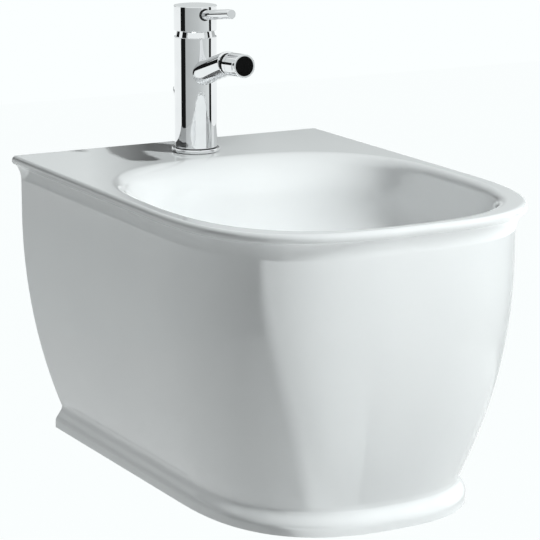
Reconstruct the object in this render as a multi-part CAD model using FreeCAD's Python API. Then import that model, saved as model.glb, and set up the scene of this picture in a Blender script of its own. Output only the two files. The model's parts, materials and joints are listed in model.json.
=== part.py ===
import FreeCAD, Part
import math
import os

# Wall-hung bidet with a single-lever mixer, a swivel nozzle and a pop-up waste.
# Millimetres. The origin lies on the wall, midway between the two wall bolts.
# +Z is up, +Y points into the wall, the front of the pan is towards -Y.
# A "drop" is a depth below the deck, a "height" is a level above it.

V = FreeCAD.Vector
X_AXIS = V(1, 0, 0)
Y_AXIS = V(0, 1, 0)
Z_AXIS = V(0, 0, 1)

# Pan, outside
RIM_WIDTH = 370.0
RIM_DEPTH = 514.5
SIDE_STRAIGHT = 300.0        # straight length of the sides, from the wall
RIM_SQUARENESS = 3.1         # exponent of the rounded front at the rim
FOOT_SQUARENESS = 2.6        # and at the plinth
FRONT_TAPER = 0.895          # how far the front draws in for each mm of the sides
PAN_HEIGHT = 303.0
DECK_ABOVE_BOLTS = 80.0
ROLL_RADIUS = 5.0            # rolled edge of the rim
COVE_RADIUS = 29.0           # hollow below the roll
COVE_DROP = 27.0
WALL_INSET = 10.2
BELLY_DROP = 62.0            # where the upright wall starts to curve in
BELLY_RADIUS = 585.0
PLINTH_HEIGHT = 23.0
PLINTH_CURVE = 16.0          # height of the S curve above the plinth's foot
PLINTH_STEP = 8.0            # how far the plinth stands out from the neck
CERAMIC_WALL = 11.0
BACK_WALL = 14.0
DECK_THICKNESS = 14.0

# Pan, bowl
BOWL_SIDE_MARGIN = 12.0
BOWL_FRONT_MARGIN = 10.0
BOWL_FROM_WALL = 106.0
BOWL_DEPTH = 140.0
BOWL_SQUARENESS = 2.7        # exponent of the bowl's opening
BOWL_LIP = 0.4               # top of the round-over, cut off by the flat deck
EDGE_RADIUS = 9.0            # round-over of the front and the sides
REAR_EDGE_RUN = 44.0         # soft round-over of the rear edge, along Y
REAR_EDGE_DROP = 40.0        # and its depth
BOWL_LEAN = 0.10             # inward run for each mm of depth
BEND_DROP = 45.0             # where the walls start to curve to the floor
WASTE_FROM_WALL = 235.0
LEDGE_RADIUS = 35.0          # flat seat of the waste in the floor
WASTE_HOLE_RADIUS = 21.5

# Wall fixing
BOLT_SPACING = 180.0
BOLT_HOLE_RADIUS = 6.5
SLEEVE_WALL = 2.3
SLEEVE_FLANGE = 3.5
SLEEVE_FLANGE_THICKNESS = 2.0
SLEEVE_PLAY = 0.2
WASHER_RADIUS = 16.0
WASHER_THICKNESS = 2.5
WALL_NUT_FLATS = 19.0
WALL_NUT_HEIGHT = 10.0
NUT_BORE_RADIUS = 6.2
SERVICE_WIDTH = 130.0        # opening in the back wall for the pipes
SERVICE_HEIGHT = 110.0
SERVICE_SILL = 40.0          # ceramic left below the opening
SERVICE_CORNER = 18.0

# Mixer, fixed pieces
TAP_FROM_WALL = 64.0
TAP_HOLE_RADIUS = 17.5
GASKET_THICKNESS = 0.8
BASE_RING_RADIUS = 25.75
BASE_RING_HEIGHT = 3.4
SHADOW_GAP = 0.8             # thin dark line between base ring and body
SHADOW_STEP = 1.5
BODY_RADIUS = 22.5
BODY_TOP = 122.7
TAIL_RADIUS = 16.5
TAIL_BORE = 13.5
TAIL_DROP = 36.0
TAIL_PLAY = 0.3
PORT_LEVEL = 52.0            # underside of the block with the hose ports
PORT_RADIUS = 5.0
PORT_DEPTH = 12.0
PORT_OFFSET = 8.2
WAY_RADIUS = 2.3
WAY_OFFSET = 7.5
CHAMBER_FLOOR = 103.0
CARTRIDGE_RADIUS = 17.5
CARTRIDGE_PLAY = 0.3
CARTRIDGE_SEAL = 1.5
CARTRIDGE_SHOULDER = 119.0
CARTRIDGE_NECK_RADIUS = 13.0
CARTRIDGE_NECK_TOP = 128.0
CARTRIDGE_FLOOR = 4.5
RING_NUT_RADIUS = 18.9
RING_NUT_BORE_PLAY = 0.2
RING_NUT_COLLAR = 17.0
RING_NUT_TOP = 127.0
NECK_BASE_RADIUS = 21.15
NECK_TOP_RADIUS = 19.75
NECK_TOP = 128.7
SHANK_PIECE_RADIUS = 24.0
SHANK_GASKET = 2.0
SHANK_WASHER = 2.0
SHANK_NUT_FLATS = 42.0
SHANK_NUT_HEIGHT = 8.0
SMALL_EDGE = 0.6             # softened edges of the chrome pieces

# Mixer, lever
TURRET_RADIUS = 9.7
TURRET_PLAY = 0.3
TURRET_TOP = 128.5
STEM_SIDE = 8.0
STEM_PLAY = 0.4
STEM_BOTTOM = 113.0
STEM_TOP = 147.0
STEM_PIVOT = 117.0
PIVOT_PIN_RADIUS = 1.6
PIVOT_PIN_PLAY = 0.2
CAP_RADIUS = 22.75
CAP_BOTTOM = 129.2
CAP_TOP = 155.3
CAP_SKIRT_WALL = 2.35
CAP_CEILING = 138.0
LEVER_RADIUS = 5.0
LEVER_RISE = 7.0             # degrees above level
LEVER_LEVEL = 147.2          # height of the lever's axis at the cap's face
LEVER_REACH = 60.0           # length outside the cap
LEVER_ROOT = 8.0             # inner end of the lever, from the tap's axis
LEVER_RECESS = 1.4           # dark ring round the lever's root
LEVER_RECESS_DEPTH = 2.6
GRUB_RADIUS = 2.5
GRUB_INSET = 0.6

# Mixer, spout and nozzle
SPOUT_RADIUS = 12.75
SPOUT_BORE = 7.0
SPOUT_LEVEL = 80.0           # where the spout's axis crosses the tap's axis
SPOUT_RISE = 17.0            # degrees above level
SPOUT_ROOT = 15.0
SPOUT_END = 79.4             # from the tap's axis, along the spout
SPOUT_PLAY = 0.05
BALL_SETBACK = 3.9           # ball centre behind the spout's end
BALL_RADIUS = 9.5
BALL_PLAY = 0.3
BALL_BORE = 3.5
BALL_NECK = 5.5
SOCKET_BORE = 10.6
SOCKET_DEPTH = 9.5           # behind the ball centre
RACE_PLAY = 0.3
SOCKET_RING_GAP = 0.3        # from the ball centre to the ring's rear face
NOZZLE_RISE = 3.5            # degrees above level, as it is left at rest
NOZZLE_RADIUS = 12.2
NOZZLE_REACH = 38.3          # from the ball centre to the face
COLLAR_START = 10.4
COLLAR_END = 16.5
COLLAR_SPIGOT = 6.0
COLLAR_SEAM = 0.3
SLEEVE_BORE = 10.3
SPIGOT_PLAY = 0.2
AERATOR_LENGTH = 10.0
AERATOR_RECESS = 0.4
AERATOR_PLAY = 0.1
AERATOR_HOLE = 0.45
AERATOR_HOLE_DEPTH = 1.5
AERATOR_HOLE_RING = 7.4
AERATOR_HOLES = 6
NOTCH_BEHIND_FACE = 3.2
NOTCH_WIDTH = 2.6
NOTCH_HEIGHT = 9.0
NOTCH_DEPTH = 0.9

# Pull rod of the waste
ROD_LEAN = 34.0              # degrees back from upright, above the bend
ROD_BEND_HEIGHT = 4.0
ROD_BEND_RADIUS = 10.0
KNOB_FROM_WALL = 15.0
KNOB_HEIGHT = 62.0
KNOB_RADIUS = 3.5
KNOB_TIP_RADIUS = 2.2
KNOB_LENGTH = 12.0
KNOB_CONE = 4.0
ROD_RADIUS = 2.25
ROD_PLAY = 0.3
ROD_DROP = 150.0             # lower end of the upright leg
CLAMP_LENGTH = 14.0
CLAMP_WIDTH = 12.0
CLAMP_WALL = 4.0
STRAP_THICKNESS = 1.6
STRAP_WIDTH = 12.0
STRAP_END = 14.0             # strap beyond its slot
STRAP_SEAT = 0.15            # strap's face behind the rod's back
SLOT_HALF_LENGTH = 4.0
SLOT_HALF_WIDTH = 3.0
CLAMP_SCREW_RADIUS = 2.0
CLAMP_SCREW_HEAD = 4.0
CLAMP_SCREW_HEAD_HEIGHT = 3.0

# Waste
TOP_SEAL = 1.0
FLANGE_RADIUS = 32.0
FLANGE_THICKNESS = 3.0
FLANGE_TAIL_RADIUS = 20.5
FLANGE_BORE = 18.0
FLANGE_TAIL_LENGTH = 40.0
UNDER_GASKET = 3.0
BODY_FLANGE = 4.0
WASTE_BODY_RADIUS = 25.0
THREAD_PLAY = 0.1
TAIL_STOP = 6.0
TAIL_SOCKET = 22.0
TAIL_SOCKET_WALL = 3.7
TAILPIECE_RADIUS = 16.0
TAILPIECE_WALL = 1.8
TAILPIECE_LENGTH = 82.0
TAILPIECE_PLAY = 0.3
TAILPIECE_STEP = 0.8         # the inserted end's radius is this much smaller
TAIL_FREE_GAP = 2.0          # full size starts this far below the nut
TAIL_NUT_HEIGHT = 12.0
TAIL_NUT_LIP = 4.0
TAIL_NUT_WALL = 3.0
ROCKER_BALL = 7.0
ROCKER_OFFSET = 30.0         # ball centre from the waste's axis
ROCKER_BELOW_FLANGE = 34.0   # port axis below the waste body's flange
PORT_TO_SOCKET = 18.0        # port axis to the tailpiece's stop
ROCKER_RADIUS = 2.5
ROCKER_TIP = 5.0             # beyond the waste's axis
ROCKER_TAIL = 14.0           # beyond the strap
ROCKER_PLAY = 0.3
ROCKER_SLOT = 6.0            # inner opening of the ball port
PORT_BOSS_RADIUS = 13.0
PORT_BOSS_BORE = 10.5
PORT_BOSS_END = 40.0
BALL_SEAT_LENGTH = 5.6
BALL_NUT_WALL = 3.0
BALL_NUT_END = 4.0
BALL_NUT_OPENING = 6.9
PLUG_RADIUS = 26.0
PLUG_THICKNESS = 4.2
PLUG_SEAL = 1.5
PLUG_SEAL_RADIUS = 23.0
PLUG_LIFT_GAP = 0.3
PLUG_STEM_RADIUS = 4.0
PLUG_FIN = 1.6
PLUG_FIN_PLAY = 0.4
PLUG_FIN_LENGTH = 16.0
EYE_WIDTH = 12.0
EYE_LENGTH = 6.0
EYE_WALL = 3.0
EYE_RADIUS = 3.8

CUT_MARGIN = 1.0             # how far a cut runs past a face
CAST_JOINT_BELOW_BOWL = 8.0  # from the bowl's underside to the casting's level joint
CAST_JOINT_SIDE = 2.0        # the upright joint stands this far beside the middle
OUTLINE_STEPS = 16           # points along the rounded front
BOWL_STEPS = 32              # points round the bowl

# Places that several pieces share
DECK = DECK_ABOVE_BOLTS
PAN_BOTTOM = DECK - PAN_HEIGHT
NECK_DROP = PAN_HEIGHT - PLINTH_HEIGHT
HALF_WIDTH = RIM_WIDTH / 2
TAP = V(0, -TAP_FROM_WALL, DECK)
WASTE = V(0, -WASTE_FROM_WALL, DECK)
BODY_BOTTOM = GASKET_THICKNESS + BASE_RING_HEIGHT + SHADOW_GAP
CERAMIC_UNDER = BOWL_DEPTH + CERAMIC_WALL
BODY_FLANGE_TOP = CERAMIC_UNDER + UNDER_GASKET
WASTE_BODY_TOP = BODY_FLANGE_TOP + BODY_FLANGE
ROCKER_DROP = WASTE_BODY_TOP + ROCKER_BELOW_FLANGE


def level(drop):
    return DECK - drop


def cyl(radius, z0, z1, x=0.0, y=0.0):
    return Part.makeCylinder(radius, z1 - z0, V(x, y, z0))


def tube(outer, inner, z0, z1, x=0.0, y=0.0):
    return cyl(outer, z0, z1, x, y).cut(cyl(inner, z0, z1, x, y))


def box(size_x, size_y, z0, z1, x=0.0, y=0.0):
    corner = V(x - size_x / 2, y - size_y / 2, z0)
    return Part.makeBox(size_x, size_y, z1 - z0, corner)


def hexagon(flats, z0, z1, x=0.0, y=0.0):
    radius = flats / math.sqrt(3)
    corners = [V(x + radius * math.cos(k * math.pi / 3), y + radius * math.sin(k * math.pi / 3), z0)
               for k in range(7)]
    return Part.Face(Part.makePolygon(corners)).extrude(V(0, 0, z1 - z0))


def turned(points, x=0.0, y=0.0):
    """A solid of revolution about an upright axis, from (radius, z) corners."""
    corners = [V(x + r, y, z) for r, z in points]
    face = Part.Face(Part.makePolygon(corners + corners[:1]))
    return face.revolve(V(x, y, 0), Z_AXIS, 360)


def union(shapes):
    return shapes[0].multiFuse(shapes[1:]).removeSplitter()


def cut(shape, tools):
    for tool in tools:
        shape = shape.cut(tool)
    return shape


def placed(shape, base, tilt):
    """Turns an upright shape about X by tilt degrees and sets its origin at base."""
    copy = shape.copy()
    copy.Placement = FreeCAD.Placement(base, FreeCAD.Rotation(X_AXIS, tilt))
    return copy


def soften(shape, radius, z, ring):
    """Rounds the circular edges of one level and radius."""
    edges = [e for e in shape.Edges
             if hasattr(e.Curve, "Radius")
             and abs(e.Curve.Radius - ring) < 1e-3
             and abs(e.Curve.Center.z - z) < 1e-3]
    return shape.makeFillet(radius, edges)


def save(name, shape):
    shape.exportStep("parts/" + name + ".step")


def power(value, exponent):
    return math.copysign(abs(value) ** exponent, value)


def outline(inset, drop, back=0.0):
    """Closed plan outline of the pan: straight sides, rounded front, flat back."""
    half = HALF_WIDTH - inset
    nose = RIM_DEPTH - FRONT_TAPER * inset - SIDE_STRAIGHT
    z = level(drop)
    share = min(drop / NECK_DROP, 1.0) ** 2
    squareness = RIM_SQUARENESS + (FOOT_SQUARENESS - RIM_SQUARENESS) * share
    points = []
    for k in range(OUTLINE_STEPS + 1):
        turn = math.pi * k / OUTLINE_STEPS
        x = -half * power(math.cos(turn), 2 / squareness)
        y = -SIDE_STRAIGHT - nose * abs(math.sin(turn)) ** (2 / squareness)
        points.append(V(x, y, z))
    front = Part.BSplineCurve()
    pace = (points[1] - points[0]).Length
    front.interpolate(Points=points, Parameters=[float(k) for k in range(len(points))], Scale=False,
                      InitialTangent=V(0, -pace, 0), FinalTangent=V(0, pace, 0))
    left_back = V(-half, -back, z)
    right_back = V(half, -back, z)
    left = Part.LineSegment(left_back, points[0])
    right = Part.LineSegment(points[-1], right_back)
    rear = Part.LineSegment(right_back, left_back)
    return Part.Wire([left.toShape(), front.toShape(), right.toShape(), rear.toShape()])


def belly_inset(drop):
    """Inset of the outer wall: upright, then curving in to the neck."""
    if drop <= BELLY_DROP:
        return WALL_INSET
    return WALL_INSET + BELLY_RADIUS - math.sqrt(BELLY_RADIUS ** 2 - (drop - BELLY_DROP) ** 2)


def cove_inset(drop):
    return WALL_INSET - COVE_RADIUS + math.sqrt(COVE_RADIUS ** 2 - (COVE_DROP - drop) ** 2)


def plinth_inset(drop):
    share = min((drop - NECK_DROP) / PLINTH_CURVE, 1.0)
    return belly_inset(NECK_DROP) - PLINTH_STEP * (1 - math.cos(math.pi * share)) / 2


def loft(sections, back=0.0):
    """Solid through outlines given as (inset, drop)."""
    return Part.makeLoft([outline(inset, drop, back) for inset, drop in sections], True, False)


def spread(start, end, count):
    return [start + (end - start) * k / count for k in range(count + 1)]


def pan_outside():
    roll_end = 2 * ROLL_RADIUS
    roll = []
    for angle in spread(0, math.pi, 8):
        roll.append((ROLL_RADIUS * (1 - math.sin(angle)), ROLL_RADIUS * (1 - math.cos(angle))))
    roll[-1] = (cove_inset(roll_end), roll_end)
    cove = [(cove_inset(drop), drop) for drop in spread(roll_end, COVE_DROP, 5)]
    upright = [(WALL_INSET, COVE_DROP), (WALL_INSET, BELLY_DROP)]
    belly = [(belly_inset(drop), drop) for drop in spread(BELLY_DROP, NECK_DROP, 5)]
    curve = [(plinth_inset(drop), drop) for drop in spread(NECK_DROP, NECK_DROP + PLINTH_CURVE, 6)]
    foot = [curve[-1], (curve[-1][0], PAN_HEIGHT)]
    return union([loft(stretch) for stretch in (roll, cove, upright, belly, curve, foot)])


def edge_run(run, depth, drop):
    """Inward run of a round-over of the given run and depth."""
    left = max(depth - drop, 0.0) / depth
    return run * math.sqrt(1 - left ** 2)


def bowl_run(run, depth, reach, drop):
    """Inward run of the bowl's wall: round-over, leaning wall, curve to the floor."""
    inward = edge_run(run, depth, drop) + BOWL_LEAN * drop
    if drop <= BEND_DROP:
        return inward
    share = (drop - BEND_DROP) / (BOWL_DEPTH - BEND_DROP)
    rest = reach - run - BOWL_LEAN * BOWL_DEPTH
    return inward + rest * (1 - math.sqrt(max(1 - share ** 2, 0.0)))


def bowl_wire(drop, grow, z):
    """Closed outline of the bowl at one depth, grown outwards by the ceramic's wall."""
    half = HALF_WIDTH - BOWL_SIDE_MARGIN
    front = RIM_DEPTH - BOWL_FRONT_MARGIN
    half_reach = half - LEDGE_RADIUS
    front_reach = front - WASTE_FROM_WALL - LEDGE_RADIUS
    rear_reach = WASTE_FROM_WALL - LEDGE_RADIUS - BOWL_FROM_WALL
    width = half - bowl_run(EDGE_RADIUS, EDGE_RADIUS, half_reach, drop) + grow
    y_front = -front + bowl_run(EDGE_RADIUS, EDGE_RADIUS, front_reach, drop) - grow
    y_rear = -BOWL_FROM_WALL - bowl_run(REAR_EDGE_RUN, REAR_EDGE_DROP, rear_reach, drop) + grow
    share = max(drop - BEND_DROP, 0.0) / (BOWL_DEPTH - BEND_DROP)
    bend = 1 - math.sqrt(max(1 - share ** 2, 0.0))
    middle = -SIDE_STRAIGHT + (SIDE_STRAIGHT - WASTE_FROM_WALL) * bend
    exponent = 2 / (BOWL_SQUARENESS + (2 - BOWL_SQUARENESS) * bend)
    points = []
    for k in range(BOWL_STEPS):
        turn = 2 * math.pi * k / BOWL_STEPS
        side = power(math.sin(turn), exponent)
        length = y_rear - middle if side > 0 else middle - y_front
        points.append(V(width * power(math.cos(turn), exponent), middle + length * side, z))
    curve = Part.BSplineCurve()
    curve.interpolate(Points=points, PeriodicFlag=True,
                      Parameters=[float(k) for k in range(BOWL_STEPS + 1)])
    halfway = BOWL_STEPS / 2
    return Part.Wire([curve.toShape(0, halfway), curve.toShape(halfway, BOWL_STEPS)])


def bowl_drops():
    """Depths of the bowl's sections, of the round-over and of the rest."""
    edge = [EDGE_RADIUS * (1 - math.cos(angle)) for angle in spread(0, math.pi / 2, 6)]
    wall = [EDGE_RADIUS * (BEND_DROP / EDGE_RADIUS) ** share for share in spread(0, 1, 6)][1:]
    depth = BOWL_DEPTH - BEND_DROP
    floor = [BEND_DROP + depth * math.sin(angle) for angle in spread(0, math.pi / 2, 9)][1:]
    return edge, edge[-1:] + wall + floor


def bowl_inside():
    """The bowl's hollow in two lofts: the round-over meets the deck at a slight angle."""
    lift = BOWL_LIP / BOWL_DEPTH
    lofts = []
    for drops in bowl_drops():
        wires = [bowl_wire(drop, 0.0, level(drop - lift * (BOWL_DEPTH - drop))) for drop in drops]
        lofts.append(Part.makeLoft(wires, True, False))
    return lofts


def bowl_outside():
    """The bowl's underside: one wall further out and one wall deeper at the floor."""
    deeper = (BOWL_DEPTH + CERAMIC_WALL) / BOWL_DEPTH
    wires = [bowl_wire(drop, CERAMIC_WALL, level(drop * deeper)) for drop in bowl_drops()[1]]
    return Part.makeLoft(wires, True, False)


def pan_cavity():
    """The hollow between the outer wall and the bowl, open underneath."""
    below = PAN_HEIGHT + CERAMIC_WALL
    drops = spread(DECK_THICKNESS, BELLY_DROP, 1) + spread(BELLY_DROP, NECK_DROP, 4)[1:]
    sections = [(belly_inset(drop) + CERAMIC_WALL, drop) for drop in drops]
    upper = loft(sections[:2], BACK_WALL)
    lower = loft(sections[1:], BACK_WALL)
    foot = loft([sections[-1], (sections[-1][0], below)], BACK_WALL)
    return union([upper, lower, foot]).cut(bowl_outside())


def bolt_places():
    return [V(side * BOLT_SPACING / 2, 0, 0) for side in (-1, 1)]


def inward(shape, base):
    """Turns an upright shape so that its +Z points from the wall into the pan."""
    return placed(shape, base, 90)


SLEEVE_RADIUS = BOLT_HOLE_RADIUS + SLEEVE_WALL


def service_opening():
    z0 = PAN_BOTTOM + SERVICE_SILL
    block = Part.makeBox(SERVICE_WIDTH, 3 * BACK_WALL, SERVICE_HEIGHT,
                         V(-SERVICE_WIDTH / 2, -2 * BACK_WALL, z0))
    corners = [e for e in block.Edges if abs(e.tangentAt(e.FirstParameter).y) > 0.5]
    return block.makeFillet(SERVICE_CORNER, corners)


def cast_quarters(shape):
    """The casting as four touching solids: left and right, above and below the level joint."""
    joint = level(CERAMIC_UNDER + CAST_JOINT_BELOW_BOWL)
    ends = [PAN_BOTTOM - CUT_MARGIN, joint, DECK + CUT_MARGIN]
    quarters = []
    for side in (-1, 1):
        for z0, z1 in zip(ends, ends[1:]):
            centre = CAST_JOINT_SIDE + side * HALF_WIDTH
            quarters.append(shape.common(box(RIM_WIDTH, 2 * RIM_DEPTH, z0, z1, centre)))
    return Part.makeCompound(quarters)


def make_pan():
    tools = bowl_inside() + [pan_cavity(), service_opening()]
    tools.append(cyl(TAP_HOLE_RADIUS, level(2 * DECK_THICKNESS), level(-CUT_MARGIN), TAP.x, TAP.y))
    waste_end = level(BOWL_DEPTH + 2 * CERAMIC_WALL)
    tools.append(cyl(WASTE_HOLE_RADIUS, waste_end, level(0), WASTE.x, WASTE.y))
    for place in bolt_places():
        tools.append(inward(cyl(SLEEVE_RADIUS + SLEEVE_PLAY, -BACK_WALL, 2 * BACK_WALL), place))
    save("bidet_pan", cast_quarters(cut(pan_outside(), tools)))


def make_wall_fixing():
    flange_start = BACK_WALL
    washer_start = flange_start + SLEEVE_FLANGE_THICKNESS
    nut_start = washer_start + WASHER_THICKNESS
    nut_end = nut_start + WALL_NUT_HEIGHT
    sleeve = union([tube(SLEEVE_RADIUS, BOLT_HOLE_RADIUS, 0, washer_start),
                    tube(SLEEVE_RADIUS + SLEEVE_FLANGE, BOLT_HOLE_RADIUS, flange_start, washer_start)])
    washer = tube(WASHER_RADIUS, BOLT_HOLE_RADIUS, washer_start, nut_start)
    nut = hexagon(WALL_NUT_FLATS, nut_start, nut_end).cut(cyl(NUT_BORE_RADIUS, nut_start, nut_end))
    for name, shape in (("wall_sleeves", sleeve), ("wall_washers", washer), ("wall_nuts", nut)):
        save(name, Part.makeCompound([inward(shape, place) for place in bolt_places()]))


def on_tap(z):
    return DECK + z


def tap_cyl(radius, z0, z1, x=0.0, y=0.0):
    return cyl(radius, on_tap(z0), on_tap(z1), TAP.x + x, TAP.y + y)


def tap_tube(outer, inner, z0, z1):
    return tube(outer, inner, on_tap(z0), on_tap(z1), TAP.x, TAP.y)


def tap_box(size_x, size_y, z0, z1, y=0.0):
    return box(size_x, size_y, on_tap(z0), on_tap(z1), TAP.x, TAP.y + y)


SPOUT_BASE = TAP + V(0, 0, SPOUT_LEVEL)
SPOUT_TILT = 90.0 - SPOUT_RISE
BALL_ALONG = SPOUT_END - BALL_SETBACK
ROD_TOP = V(0, -KNOB_FROM_WALL, DECK + KNOB_HEIGHT)
ROD_SLOPE = (KNOB_HEIGHT - ROD_BEND_HEIGHT) / math.cos(math.radians(ROD_LEAN))
LEG_Y = -KNOB_FROM_WALL - ROD_SLOPE * math.sin(math.radians(ROD_LEAN))


def on_spout(shape):
    return placed(shape, SPOUT_BASE, SPOUT_TILT)


def on_rod(shape):
    """The pull rod's own frame: Z along its leaning part, upwards, from the knob's top."""
    return placed(shape, ROD_TOP, -ROD_LEAN)


def on_nozzle(shape):
    rise = math.radians(SPOUT_RISE)
    ball = SPOUT_BASE + V(0, -BALL_ALONG * math.cos(rise), BALL_ALONG * math.sin(rise))
    return placed(shape, ball, 90.0 - NOZZLE_RISE)


RING_NUT_SEAT = CARTRIDGE_SHOULDER
CHAMBER_RADIUS = CARTRIDGE_RADIUS + CARTRIDGE_PLAY
THREAD_RADIUS = RING_NUT_RADIUS + THREAD_PLAY
CARTRIDGE_BOTTOM = CHAMBER_FLOOR + CARTRIDGE_SEAL
TURRET_FLOOR = CARTRIDGE_BOTTOM + CARTRIDGE_FLOOR


def make_base():
    ring_top = GASKET_THICKNESS + BASE_RING_HEIGHT
    bore = TAIL_RADIUS + TAIL_PLAY
    save("mixer_gasket", tap_tube(BASE_RING_RADIUS - SHADOW_STEP, bore, 0, GASKET_THICKNESS))
    ring = tap_tube(BASE_RING_RADIUS, bore, GASKET_THICKNESS, ring_top)
    save("mixer_base_ring", soften(ring, 2 * SMALL_EDGE, on_tap(ring_top), BASE_RING_RADIUS))


def way_places():
    return [(-WAY_OFFSET, 0.0), (WAY_OFFSET, 0.0), (0.0, -WAY_OFFSET)]


def make_mixer_body():
    barrel = tap_cyl(BODY_RADIUS, BODY_BOTTOM, BODY_TOP)
    barrel = soften(barrel, SMALL_EDGE, on_tap(BODY_TOP), BODY_RADIUS)
    barrel = soften(barrel, SMALL_EDGE, on_tap(BODY_BOTTOM), BODY_RADIUS)
    spigot = tap_cyl(BODY_RADIUS - SHADOW_STEP, BODY_BOTTOM - SHADOW_GAP, BODY_BOTTOM)
    tail = tap_cyl(TAIL_RADIUS, -TAIL_DROP, BODY_BOTTOM)
    tools = [tap_cyl(TAIL_BORE, -TAIL_DROP, PORT_LEVEL),
             tap_cyl(CHAMBER_RADIUS, CHAMBER_FLOOR, BODY_TOP),
             tap_cyl(THREAD_RADIUS, RING_NUT_SEAT, BODY_TOP)]
    for side in (-1, 1):
        tools.append(tap_cyl(PORT_RADIUS, PORT_LEVEL, PORT_LEVEL + PORT_DEPTH, side * PORT_OFFSET))
        tools.append(tap_cyl(WAY_RADIUS, PORT_LEVEL + PORT_DEPTH, CHAMBER_FLOOR, side * WAY_OFFSET))
    tools.append(tap_cyl(WAY_RADIUS, SPOUT_LEVEL, CHAMBER_FLOOR, 0, -WAY_OFFSET))
    tools.append(on_spout(cyl(WAY_RADIUS * 2, WAY_RADIUS, SPOUT_ROOT)))
    tools.append(on_spout(cyl(SPOUT_RADIUS + SPOUT_PLAY, SPOUT_ROOT, SPOUT_END)))
    tools.append(on_rod(cyl(ROD_RADIUS + ROD_PLAY, -ROD_SLOPE, 0)))
    save("mixer_body", cut(union([barrel, spigot, tail]), tools))


def make_shank_fixing():
    bore = TAIL_RADIUS + TAIL_PLAY
    gasket_end = DECK_THICKNESS + SHANK_GASKET
    washer_end = gasket_end + SHANK_WASHER
    nut_end = washer_end + SHANK_NUT_HEIGHT
    save("shank_gasket", tap_tube(SHANK_PIECE_RADIUS, bore, -gasket_end, -DECK_THICKNESS))
    save("shank_washer", tap_tube(SHANK_PIECE_RADIUS, bore, -washer_end, -gasket_end))
    nut = hexagon(SHANK_NUT_FLATS, level(nut_end), level(washer_end), TAP.x, TAP.y)
    save("shank_nut", nut.cut(tap_cyl(TAIL_RADIUS + THREAD_PLAY, -nut_end, -washer_end)))


def make_cartridge():
    seal = tap_cyl(CARTRIDGE_RADIUS, CHAMBER_FLOOR, CARTRIDGE_BOTTOM)
    body = union([tap_cyl(CARTRIDGE_RADIUS, CARTRIDGE_BOTTOM, CARTRIDGE_SHOULDER),
                  tap_cyl(CARTRIDGE_NECK_RADIUS, CARTRIDGE_SHOULDER, CARTRIDGE_NECK_TOP)])
    body = body.cut(tap_cyl(TURRET_RADIUS + TURRET_PLAY, TURRET_FLOOR, CARTRIDGE_NECK_TOP))
    for x, y in way_places():
        seal = seal.cut(tap_cyl(WAY_RADIUS, CHAMBER_FLOOR, CARTRIDGE_BOTTOM, x, y))
        body = body.cut(tap_cyl(WAY_RADIUS, CARTRIDGE_BOTTOM, TURRET_FLOOR, x, y))
    save("cartridge_seal", seal)
    save("cartridge_body", body)
    nut = union([tap_cyl(RING_NUT_RADIUS, RING_NUT_SEAT, BODY_TOP),
                 tap_cyl(RING_NUT_COLLAR, BODY_TOP, RING_NUT_TOP)])
    bore = CARTRIDGE_NECK_RADIUS + RING_NUT_BORE_PLAY
    save("cartridge_ring_nut", nut.cut(tap_cyl(bore, RING_NUT_SEAT, RING_NUT_TOP)))
    neck_bore = RING_NUT_COLLAR + TAIL_PLAY
    save("neck_ring", turned([(neck_bore, on_tap(BODY_TOP)), (NECK_BASE_RADIUS, on_tap(BODY_TOP)),
                              (NECK_TOP_RADIUS, on_tap(NECK_TOP)), (neck_bore, on_tap(NECK_TOP))],
                             TAP.x, TAP.y))


def make_turret():
    turret = tap_cyl(TURRET_RADIUS, TURRET_FLOOR + TURRET_PLAY, TURRET_TOP)
    swing = math.hypot(STEM_SIDE / 2, STEM_PIVOT - STEM_BOTTOM) + STEM_PLAY
    slot_length = swing + TURRET_RADIUS + CUT_MARGIN
    slot = tap_box(STEM_SIDE + STEM_PLAY, slot_length, STEM_PIVOT - swing, TURRET_TOP + CUT_MARGIN,
                   slot_length / 2 - swing)
    pivot = TAP + V(-TURRET_RADIUS, 0, STEM_PIVOT)
    pin_half = TURRET_RADIUS - SMALL_EDGE
    pin_start = TAP + V(-pin_half, 0, STEM_PIVOT)
    hole = Part.makeCylinder(PIVOT_PIN_RADIUS, 2 * TURRET_RADIUS, pivot, X_AXIS)
    save("cartridge_turret", cut(turret, [slot, hole]))
    save("stem_pivot_pin", Part.makeCylinder(PIVOT_PIN_RADIUS, 2 * pin_half, pin_start, X_AXIS))


def on_lever(shape):
    """The lever's frame: Z along the lever, outwards, from the cap's front face."""
    return placed(shape, TAP + V(0, -CAP_RADIUS, LEVER_LEVEL), 90.0 - LEVER_RISE)


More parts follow.
